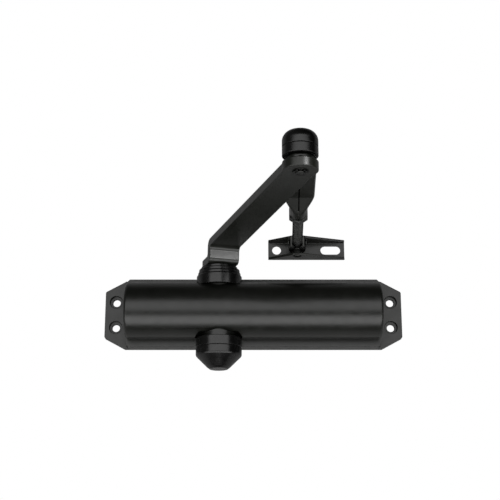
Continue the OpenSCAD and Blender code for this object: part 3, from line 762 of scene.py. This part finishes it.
def forearm_ring(x):
    """One section of the forearm: flat with round edges at first, then swelling into the tube."""
    count = 40
    t = ease((x - FLAT_LENGTH) / SHOULDER)
    if x < 0:
        half_w = math.sqrt(max(FLAT_END_R**2 - x * x, 0.04))
    elif x < WIDE_FROM:
        half_w = FLAT_END_R + (FLAT_HALF_W - FLAT_END_R) * ease(x / WIDE_FROM)
    else:
        half_w = FLAT_HALF_W + (TUBE_R - FLAT_HALF_W) * t
    half_t = FLAT_T / 2 + (TUBE_R - FLAT_T / 2) * t ** 0.8
    beyond = -x - (FLAT_END_R - FLAT_T / 2)
    if beyond > 0:
        half_t = math.sqrt(max(half_t**2 - beyond**2, 0.04))
    middle_z = FLAT_Z + FLAT_T / 2 + (TUBE_Z - FLAT_Z - FLAT_T / 2) * t
    corner = min(half_w, half_t)
    straight = half_w - corner
    depth = (1.6 + 0.3 * t) * ease((x - SEAM_FROM) / 6)
    points = [(x, SEAM_HALF_W, middle_z - half_t + depth), (x, SEAM_HALF_W, middle_z - half_t)]
    for i in range(count + 1):
        a = -math.pi / 2 + math.pi * i / count
        points.append((x, straight + corner * math.cos(a), middle_z + half_t * math.sin(a)))
    for i in range(count + 1):
        a = math.pi / 2 + math.pi * i / count
        points.append((x, -straight + corner * math.cos(a), middle_z + half_t * math.sin(a)))
    points += [(x, -SEAM_HALF_W, middle_z - half_t), (x, -SEAM_HALF_W, middle_z - half_t + depth)]
    return [
        (px, py if abs(py) > SEAM_HALF_W or pz > middle_z else math.copysign(SEAM_HALF_W, py or 1), pz)
        for px, py, pz in points
    ]


def make_forearm():
    stops = [-FLAT_END_R * math.cos(a) for a in quarter(14)][:-1]
    stops += [0, 2, 4, 6, 8, 12, 18, 19, 20, 21, 22, 24, 34, 44, 54, 60]
    stops += [FLAT_LENGTH + SHOULDER * i / 24 for i in range(25)]
    stops += [93, TUBE_END - 0.5]
    arm = loft("forearm_tube", [forearm_ring(x) for x in stops] + [shrunk_end()], ALONG_FOREARM)
    bore = lathe(
        "tube_bore",
        [
            (0, TUBE_BORE_FROM), (TUBE_BORE_R, TUBE_BORE_FROM), (TUBE_BORE_R, TUBE_END - 0.3),
            (TUBE_BORE_R + 1.0, TUBE_END + 0.7), (0, TUBE_END + 0.7),
        ],
        ALONG_TUBE,
        64,
    )
    pin_hole = flared_hole("pin_drill", PIN_HOLE_R, FLAT_Z, FLAT_Z + FLAT_T, 0.25, AT_ELBOW)
    combine(arm, [bore, pin_hole])
    ready(arm, "forearm", "black_painted_steel", "forearm")
    # The faces inside the slit get the near-black material, which paints the shade in the narrow slit.
    arm.data.materials.append(MATERIALS["seam_shade"])
    for face in arm.data.polygons:
        x, y, z = face.center / MM
        if SEAM_FROM < x < TUBE_END - 0.6 and abs(y) < SEAM_HALF_W + 0.02 and z < SEAM_TOP_Z:
            face.material_index = 1


def shrunk_end():
    """The tube's last ring, drawn in a little for its broken edge."""
    ring = forearm_ring(TUBE_END)
    return [(x, y * 0.93, TUBE_Z + (z - TUBE_Z) * 0.93) for x, y, z in ring]


def make_threaded_insert():
    outer, end = TUBE_BORE_R - 0.02, TUBE_END - 0.2
    profile = rounded(
        [
            (INSERT_BORE_R, TUBE_BORE_FROM), (outer, TUBE_BORE_FROM),
            (outer, end, 0.3), (INSERT_BORE_R, end, 0.3),
        ],
        3,
    )
    insert = lathe("tube_insert", profile, ALONG_TUBE, 64)
    ready(insert, "forearm", "zinc_steel", "threaded_insert")


# ---------------------------------------------------------------- elbow


def make_elbow():
    """Pin, open clip, ring and domed cap."""
    low, high = box_mm("elbow_pin")
    pin_r, groove_r, head_r = 3.5, 2.8, 6
    groove_low, groove_high, head_low = 43.05, 44.0, 56.7
    pin_profile = rounded(
        [
            (0, low.z), (pin_r, low.z, 0.5), (pin_r, groove_low, 0.05), (groove_r, groove_low),
            (groove_r, groove_high), (pin_r, groove_high, 0.05), (pin_r, head_low, 0.2),
            (head_r, head_low, 0.3), (head_r, high.z, 0.5), (0, high.z),
        ],
        4,
    )
    pin = lathe("elbow_rivet_pin", pin_profile, AT_ELBOW, 96)
    ready(pin, "forearm", "blackened_steel", "elbow_pin")

    low, high = box_mm("elbow_clip")
    clip = make_clip(low.z, high.z)
    ready(clip, "forearm", "blackened_steel", "elbow_clip")

    low, high = box_mm("knuckle_ring")
    bore, outer, seat, seat_z = 3.6, 11, 9.2, 56.6
    ring_profile = rounded(
        [
            (bore, low.z), (outer, low.z, 0.45), (outer, high.z, 0.35),
            (seat, high.z), (seat, seat_z), (bore, seat_z),
        ],
        6,
    )
    ring = lathe("elbow_ring", ring_profile, AT_ELBOW)
    ready(ring, "forearm", "black_plastic", "knuckle_ring", angle=50)

    low, high = box_mm("knuckle_cap")
    shoulder, wall, side = 6.6, 1.8, 11.0
    centre = (side - shoulder, high.z - shoulder - 0.3)
    cap_profile = (
        [(7.4, low.z), (9, low.z), (9, 59.6)]
        + arc((side - 0.3, 59.9), 0.3, -90, 90, 4)
        + arc(centre, shoulder, 0, 87, 20)
        + [(0, high.z), (0, high.z - wall)]
        + arc(centre, shoulder - wall, 86, -86, 12)
        + [(side - wall, 61.4), (7.4, 60.2)]
    )
    cap = lathe("elbow_dome", cap_profile, AT_ELBOW)
    ready(cap, "forearm", "black_plastic", "knuckle_cap", angle=50)


def make_clip(low, high):
    """Open retaining clip on the pin's groove, its mouth towards the front."""
    outer, inner, mouth = 4.8, 2.85, 1.8
    edge = math.degrees(math.asin(mouth / outer))
    notch = math.degrees(math.asin(mouth / inner))
    outline = arc((0, 0), outer, -90 + edge, 360 - 2 * edge, 72)
    outline += arc((0, 0), inner, -90 - notch, -(360 - 2 * notch), 48)
    return soften(prism("elbow_circlip", outline, low, high, AT_ELBOW), 0.12, 2, 40)


# ---------------------------------------------------------------- adjusting rod, nut and yoke

ROD_R = 3.85
THREAD_PITCH = 1.25
THREAD_DEPTH = 0.34
ROD_FROM = 14.5
ROD_TO = FOREARM_LENGTH - 85.5
CROSS_PIN_AT = 10.7
ALONG_ROD = FROM_SHOE @ Matrix.Rotation(math.radians(90), 4, "Y")
AT_PIN = FROM_SHOE @ Matrix.Translation(Vector((CROSS_PIN_AT, 0, 0)) * MM)
ALONG_PIN = AT_PIN @ Matrix.Rotation(math.radians(90), 4, "X")


def threaded_bar(name, start, end, matrix):
    """A bar along Z with a real helical thread and a cone at each end."""
    sides = 40
    shape = [(0.0, 1.0), (0.14, 1.0), (0.44, 0.0), (0.60, 0.0), (0.92, 1.0)]
    turns = int((end - start) / THREAD_PITCH) + 3
    bm = bmesh.new()
    rows = []
    for step in range(turns * sides + 1):
        a = 2 * math.pi * step / sides
        row = []
        for share, crest in shape:
            h = start + (step / sides + share - 1.5) * THREAD_PITCH
            from_end = min(h - start, end - h)
            r = ROD_R - THREAD_DEPTH + THREAD_DEPTH * crest
            r = min(r, ROD_R - 0.75 + max(from_end, 0))
            row.append(bm.verts.new((r * math.cos(a), r * math.sin(a), min(max(h, start), end))))
        rows.append(row)
    for step in range(turns * sides):
        here, there = rows[step], rows[step + 1]
        for j in range(len(shape) - 1):
            bm.faces.new((here[j], there[j], there[j + 1], here[j + 1]))
        if step + sides < len(rows):
            after, beyond = rows[step + sides], rows[min(step + sides + 1, len(rows) - 1)]
            if after is not beyond:
                bm.faces.new((here[-1], there[-1], beyond[0], after[0]))
    return new_piece(name, bm, matrix)


def make_rod():
    """Threaded rod that ends in a flat tongue with a round eye for the cross pin."""
    low, high = ROD_FROM, ROD_TO
    rod = threaded_bar("adjusting_rod", low + 7.0, high, ALONG_ROD)
    core_r = ROD_R - THREAD_DEPTH - 0.02
    filling = [(0, low + 6), (core_r, low + 6), (core_r, high - 0.8), (0, high - 0.8)]
    core = lathe("rod_core", filling, ALONG_ROD, 40)
    shank = lathe(
        "shank",
        rounded([(0, low), (ROD_R, low, 0.5), (ROD_R, low + 7.4, 0.4), (3.3, low + 8), (0, low + 8)], 4),
        ALONG_ROD,
        64,
    )
    tongue_t, eye_r, eye_bore_r = 3.5, 3.3, 1.55
    outline = arc((CROSS_PIN_AT, 0), eye_r, 90, 180, 24) + [(low + 1.2, -eye_r), (low + 1.2, eye_r)]
    tongue = prism("tongue", outline, -tongue_t / 2, tongue_t / 2, FROM_SHOE, "XZ")
    soften(tongue, 0.3, 3)
    combine(shank, [tongue], "UNION")
    eye = flared_hole("eye_drill", eye_bore_r, -tongue_t / 2, tongue_t / 2, 0.2, ALONG_PIN, 40)
    combine(shank, [eye])
    joined = join("adjusting_rod", [rod, core, shank], ALONG_ROD)
    return ready(joined, "adjuster_rod", "blackened_steel", "adjuster_rod", angle=30)


def join(name, pieces, matrix):
    """Several closed shells as one piece, in the matrix's own frame."""
    bpy.context.view_layer.update()
    bm = bmesh.new()
    back = matrix.inverted()
    for piece in pieces:
        mesh = piece.data
        mesh.transform(back @ piece.matrix_world)
        bm.from_mesh(mesh)
        bpy.data.objects.remove(piece)
        bpy.data.meshes.remove(mesh)
    mesh = bpy.data.meshes.new(name)
    bm.to_mesh(mesh)
    bm.free()
    piece = bpy.data.objects.new(name, mesh)
    bpy.context.scene.collection.objects.link(piece)
    piece.matrix_world = matrix
    return piece


def make_lock_nut():
    """Chamfered hexagon nut."""
    across, length, chamfer = 12.6, 6.4, 1.0
    start = FOREARM_LENGTH - TUBE_END - length - 0.2
    at = ALONG_ROD @ Matrix.Translation(Vector((0, 0, start)) * MM)
    nut = prism("hex_lock_nut", hex_outline(across), 0, length, at)
    outer = across / 2 + 1.3
    profile = [
        (0, 0), (across / 2 - 0.2, 0), (outer, chamfer * 0.9), (outer, length - chamfer * 0.9),
        (across / 2 - 0.2, length), (0, length),
    ]
    combine(nut, [lathe("nut_turning", profile, at, 96)], "INTERSECT")
    soften(nut, 0.15, 2, 20)
    combine(nut, [flared_hole("nut_drill", ROD_R + 0.05, 0, length, 0.45, at)])
    return ready(nut, "lock_nut", "blackened_steel", "lock_nut", angle=25)


def make_yoke():
    """Fork with two rounded cheeks that holds the rod's tongue."""
    low, high = box_mm("swivel_yoke")
    width, slot, back_r, reach = 12.7, 3.8, 5.6, 13.5
    rivet_hole_r, pin_hole_r = 2.25, 1.52
    half_h = (high.z - low.z) / 2
    cheek = (width - slot) / 2
    centre_y = slot / 2 + cheek / 2
    slot_from = 7.1
    join_x = math.sqrt(max(width**2 / 4 - back_r**2, 0))
    slot_corners = [
        (reach - cheek, -slot / 2), (slot_from, -slot / 2, 1.2),
        (slot_from, slot / 2, 1.2), (reach - cheek, slot / 2),
    ]
    outline = (
        arc((0, 0), back_r, 100, 160, 28)
        + [(join_x - 0.4, -width / 2)]
        + arc((reach - cheek / 2, -centre_y), cheek / 2, -90, 180, 20)
        + rounded(slot_corners, 6)
        + arc((reach - cheek / 2, centre_y), cheek / 2, -90, 180, 20)
        + [(join_x - 0.4, width / 2)]
    )
    yoke = prism("swivel_fork", outline, -half_h, half_h, FROM_SHOE)
    soften(yoke, 0.5, 3, 38)
    combine(
        yoke,
        [
            flared_hole("yoke_drill", rivet_hole_r, -half_h, half_h, 0.3, FROM_SHOE),
            flared_hole("cheek_drill", pin_hole_r, -width / 2, width / 2, 0.15, ALONG_PIN, 40),
        ],
    )
    ready(yoke, "yoke", "blackened_steel", "swivel_yoke")
    pin_r, head_r, neck, end = 1.5, 2.2, 6.4, 7.0
    profile = rounded(
        [
            (0, -end), (head_r, -end, 0.45), (head_r, -neck), (pin_r, -neck),
            (pin_r, neck), (head_r, neck), (head_r, end, 0.45), (0, end),
        ],
        4,
    )
    pin = lathe("fork_cross_pin", profile, ALONG_PIN, 48)
    ready(pin, "yoke", "blackened_steel", "cross_pin")


# ---------------------------------------------------------------- shoe


def make_shoe():
    """Bent sheet channel with sloping flanges, a round hole and a slot."""
    low, high = box_mm("shoe_bracket")
    t = 1.8
    depth = -low.y
    end_depth = 3.2
    bend = 0.6
    lobe_left, lobe_right = SHOE.x - 2.8, SHOE.x + 2.2
    channel = rounded(
        [
            (0, low.z, bend + t), (0, high.z, bend + t), (-depth, high.z), (-depth, high.z - t),
            (-t, high.z - t, bend), (-t, low.z + t, bend), (-depth, low.z + t), (-depth, low.z),
        ],
        6,
    )
    shoe = prism("shoe_channel", channel, low.x, high.x, plane="YZ")
    plan = rounded(
        [
            (low.x, 1), (low.x, -end_depth, 0.8), (lobe_left, -depth, 3),
            (lobe_right, -depth, 3), (high.x, -end_depth, 0.8), (high.x, 1),
        ],
        8,
    )
    combine(shoe, [prism("shoe_plan", plan, low.z - 1, high.z + 1)], "INTERSECT")
    soften(shoe, 0.32, 3, 38)
    radius, slot_length, hole_inset, hole_spacing = 3.35, 15.0, 6.3, 40.6
    rivet_hole_r = 2.22
    reach = slot_length / 2 - radius
    hole_x = low.x + hole_inset
    slot_x = hole_x + hole_spacing
    tools = []
    for outline in (
        arc((hole_x, SHOE.z), radius, 0, 360 - 360 / 48, 47),
        arc((slot_x + reach, SHOE.z), radius, -90, 180, 24)
        + arc((slot_x - reach, SHOE.z), radius, 90, 180, 24),
    ):
        tools.append(prism("hole_drill", outline, -t - 1, 1, plane="XZ"))
    tools.append(flared_hole("rivet_drill", rivet_hole_r, low.z, high.z, 0.1, placed(SHOE)))
    combine(shoe, tools)
    ready(shoe, "shoe", "black_painted_steel", "shoe_bracket")

    half = (high.z - low.z) / 2
    dome = [
        (3.4, half), (3.3, half + 0.35), (2.8, half + 0.8),
        (2.0, half + 1.15), (1.1, half + 1.34), (0, half + 1.4),
    ]
    upper = [(2.2, half)] + dome
    profile = [(r, -h) for r, h in reversed(upper)] + upper
    rivet = lathe("shoe_pivot_rivet", profile, AT_SHOE, 64)
    ready(rivet, "shoe", "blackened_steel", "shoe_rivet")


# ---------------------------------------------------------------- spring


def make_spring():
    """Round-wire compression spring whose end turns lie close together."""
    low, high = box_mm("main_spring")
    wire, mean, turns, end_turns = 1.8, 9.8, 9.0, 0.8
    start, end = low.x + wire, high.x - wire
    rise = 2.3 * wire * end_turns
    steps, sides = 48, 16
    rings = []
    for i in range(int(turns * steps) + 1):
        turn = i / steps
        if turn < end_turns:
            x = start + rise * turn / end_turns
        elif turn > turns - end_turns:
            x = end - rise * (turns - turn) / end_turns
        else:
            x = start + rise + (end - start - 2 * rise) * (turn - end_turns) / (turns - 2 * end_turns)
        a = 2 * math.pi * turn
        ring = []
        for j in range(sides):
            b = 2 * math.pi * j / sides
            r = mean + wire * math.cos(b)
            ring.append((x + wire * math.sin(b), PINION.y + r * math.cos(a), r * math.sin(a)))
        rings.append(ring)
    spring = loft("coil_spring", rings)
    ready(spring, "closer_body", "spring_steel", "main_spring", angle=60)
    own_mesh(spring)


# ---------------------------------------------------------------- studio

FLOOR_Z = -1.3
WALL_Y = 0.12
CAMERA_AT = (-0.00248, -0.8341, -0.1954)
CAMERA_PITCH = 16.5
LENS = 82.73


def aim(thing, place, target):
    thing.location = place
    thing.rotation_euler = (Vector(target) - Vector(place)).to_track_quat("-Z", "Y").to_euler()


def softbox(name, place, target, width, height, brightness, only=(), shaded_by=()):
    """A rectangular light of a given surface brightness; it may light and be shaded by some pieces only."""
    light = bpy.data.lights.new(name, "AREA")
    light.shape = "RECTANGLE"
    light.size = width
    light.size_y = height
    light.energy = brightness * math.pi * width * height
    return hang(name, light, place, target, only, shaded_by)


def hang(name, light, place, target, only, shaded_by=()):
    lamp = bpy.data.objects.new(name, light)
    bpy.context.scene.collection.objects.link(lamp)
    aim(lamp, place, target)
    lamp.visible_camera = False
    if only:
        lit = bpy.data.collections.new(name + "_lights")
        for piece in only:
            lit.objects.link(piece)
        lamp.light_linking.receiver_collection = lit
    if shaded_by:
        shades = bpy.data.collections.new(name + "_shades")
        for piece in shaded_by:
            shades.objects.link(piece)
        lamp.light_linking.blocker_collection = shades
    return lamp


def make_camera():
    camera = bpy.data.cameras.new("camera")
    camera.sensor_width = 36
    camera.lens = LENS
    eye = bpy.data.objects.new("camera", camera)
    bpy.context.scene.collection.objects.link(eye)
    eye.location = CAMERA_AT
    eye.rotation_euler = (math.radians(90 + CAMERA_PITCH), 0, 0)
    bpy.context.scene.camera = eye


def pale_plane(name, matrix, radius, shade):
    """A large painted disc that is part of the studio."""
    disc = bmesh.new()
    bmesh.ops.create_circle(disc, cap_ends=True, radius=radius, segments=96)
    plane = new_piece(name, disc, matrix)
    paint = Recipe(name + "_paint", metallic=0.0, roughness=0.8, specular=0.2)
    pale, paler = (shade - 0.02,) * 3, (shade + 0.02,) * 3
    paint.colour(paint.mix(paint.spread(paint.noise(3, 3), 0, 1), pale, paler))
    plane.data.materials.append(paint.material)
    return plane


def make_studio(arm):
    """Softboxes, a light for the arm's bend, a pale floor, and a wall that only reflections see."""
    floor = pale_plane("floor", Matrix.Translation((0, 0, FLOOR_Z)), 9000, 0.80)
    floor.visible_glossy = False
    floor.visible_diffuse = False
    upright = Matrix.Translation((0, WALL_Y, 0)) @ Matrix.Rotation(math.radians(90), 4, "X")
    wall = pale_plane("wall", upright, 1500, 0.28)
    wall.visible_camera = False
    wall.visible_diffuse = False
    wall.visible_shadow = False

    softbox("key_front", (0, -1.5, 0.19), (0, 0, 0.0), 3.5, 1.1, 1.8)
    softbox("low_front", (0, -0.51, -0.63), (0, -0.03, -0.02), 2.6, 0.52, 2.8)
    softbox("bend_light", (0.61, -1.03, 0.22), (-0.03, -0.03, 0.04), 0.30, 0.5, 15.0, [arm], [floor])
    softbox("rear_fill", (0, 1.6, 1.1), (0, 0, 0.0), 3.0, 1.2, 0.5)
    sun = bpy.data.lights.new("floor_sun", "SUN")
    sun.energy = 3.2
    sun.angle = math.radians(25)
    hang("floor_sun", sun, (0, -1, 4), (0, 0, 0), [floor])
    make_surroundings()
    bpy.context.scene.view_settings.view_transform = "Standard"


def make_surroundings():
    """A white background for the eye; for reflections a dark room, paler to the left and behind."""
    world = bpy.data.worlds.new("studio")
    bpy.context.scene.world = world
    world.use_nodes = True
    tree = world.node_tree
    tree.nodes.clear()
    seen = tree.nodes.new("ShaderNodeBackground")
    seen.inputs["Color"].default_value = (1, 1, 1, 1)
    seen.inputs["Strength"].default_value = 1.0
    room = tree.nodes.new("ShaderNodeBackground")
    room.inputs["Color"].default_value = (1, 1, 0.96, 1)
    direction = tree.nodes.new("ShaderNodeSeparateXYZ")
    tree.links.new(tree.nodes.new("ShaderNodeTexCoord").outputs["Generated"], direction.inputs[0])
    glow = tree.nodes.new("ShaderNodeMath")
    glow.operation = "ADD"
    walls = (("X", 0.4, -0.8, 0.0, 0.07), ("Y", 0.55, 1.0, 0.0, 0.10))
    for i, (axis, start, end, low, high) in enumerate(walls):
        node = tree.nodes.new("ShaderNodeMapRange")
        node.inputs["From Min"].default_value = start
        node.inputs["From Max"].default_value = end
        node.inputs["To Min"].default_value = low
        node.inputs["To Max"].default_value = high
        tree.links.new(direction.outputs[axis], node.inputs["Value"])
        tree.links.new(node.outputs["Result"], glow.inputs[i])
    tree.links.new(glow.outputs[0], room.inputs["Strength"])
    path = tree.nodes.new("ShaderNodeLightPath")
    blend = tree.nodes.new("ShaderNodeMixShader")
    out = tree.nodes.new("ShaderNodeOutputWorld")
    tree.links.new(path.outputs["Is Camera Ray"], blend.inputs[0])
    tree.links.new(room.outputs[0], blend.inputs[1])
    tree.links.new(seen.outputs[0], blend.inputs[2])
    tree.links.new(blend.outputs[0], out.inputs["Surface"])


# ---------------------------------------------------------------- assembly

make_camera()
dress_cad_nodes()
make_body()
make_end_plug("spring_side_plug", "spring_end_plug", 1)
make_end_plug("valve_side_plug", "valve_end_plug", -1)
make_collar()
make_trim_ring()
make_pinion_cap()
make_studio(make_main_arm())
make_arm_screw()
make_elbow_bush()
make_forearm()
make_threaded_insert()
make_elbow()
make_rod()
make_lock_nut()
make_yoke()
make_shoe()
make_spring()
